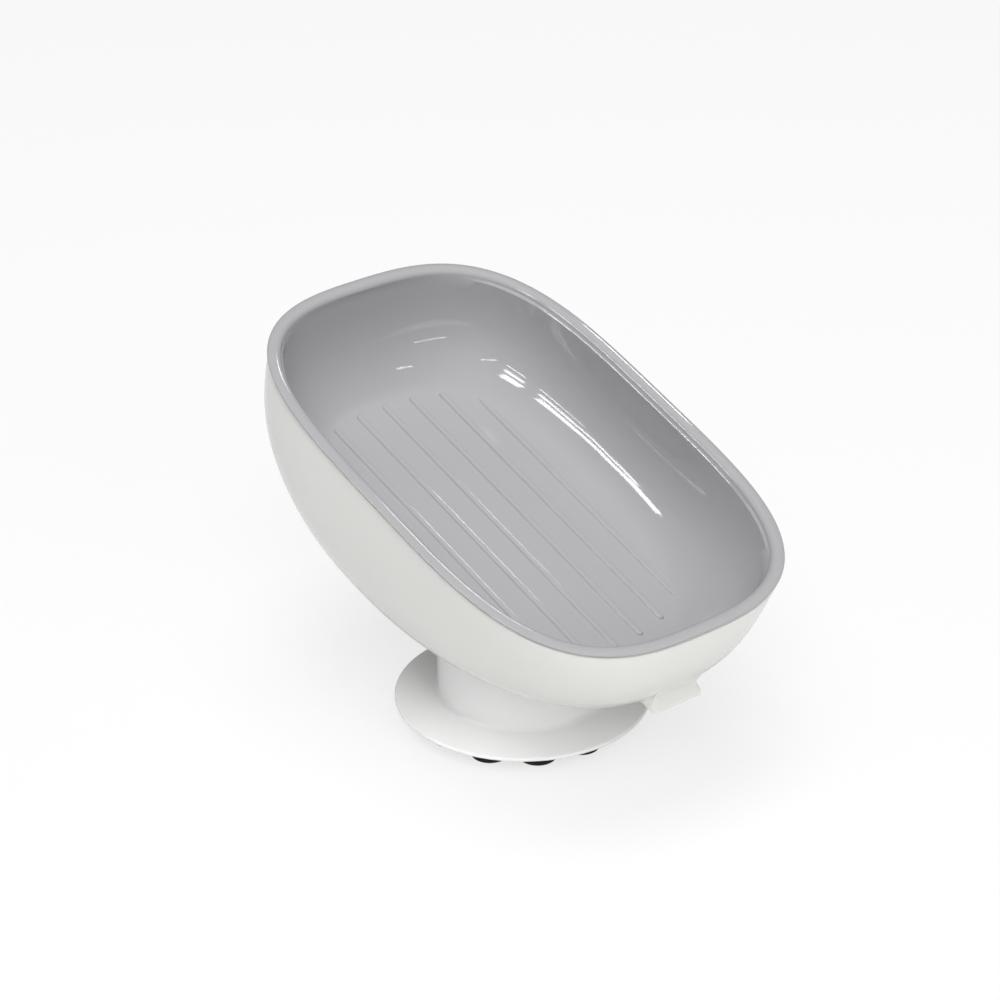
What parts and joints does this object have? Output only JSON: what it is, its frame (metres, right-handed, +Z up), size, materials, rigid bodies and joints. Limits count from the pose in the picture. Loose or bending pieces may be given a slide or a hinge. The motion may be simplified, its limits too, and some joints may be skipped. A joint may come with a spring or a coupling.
{
  "type": "suction cup soap dish",
  "caption": "Tilted oval soap dish: a ribbed draining tray in an outer bowl with a pouring spout, on a round pedestal that sticks to a smooth surface by a pad of small suction cups.",
  "frame": {"origin": "on the floor under the middle of the dish's overall length and width; the foot's round axis is 2 mm towards the low end, at y = -0.002", "axes": "+Z up; the dish's length runs along Y, with the low end and the spout at -Y and the high end at +Y; X is across the dish"},
  "size_m": [0.085, 0.128, 0.0892],
  "materials": {
    "grey_plastic": "glossy moulded light grey plastic",
    "white_plastic": "glossy moulded off-white plastic",
    "black_rubber": "soft matt black silicone rubber",
    "steel": "plain bright steel"
  },
  "bodies": {
    "suction_pad": {"suction_pad": "black_rubber"},
    "dish": {"outer_bowl": "white_plastic", "pedestal": "white_plastic", "base_plate": "white_plastic", "bowl_screw_1": "steel", "bowl_screw_2": "steel", "bowl_screw_3": "steel", "plate_screw_1": "steel", "plate_screw_2": "steel", "plate_screw_3": "steel"},
    "tray": {"inner_tray": "grey_plastic"}
  },
  "joints": [
    {"name": "press_down", "type": "slide", "parent": "suction_pad", "child": "dish", "axis": [0, 0, 1], "range_m": [-0.001, 0], "stiffness_N_per_m": 5000, "deforming": ["suction_pad"]},
    {"name": "tray_lift", "type": "slide", "parent": "dish", "child": "tray", "axis": [0, -0.3107, 0.9505], "range_m": [0, 0.06]}
  ]
}
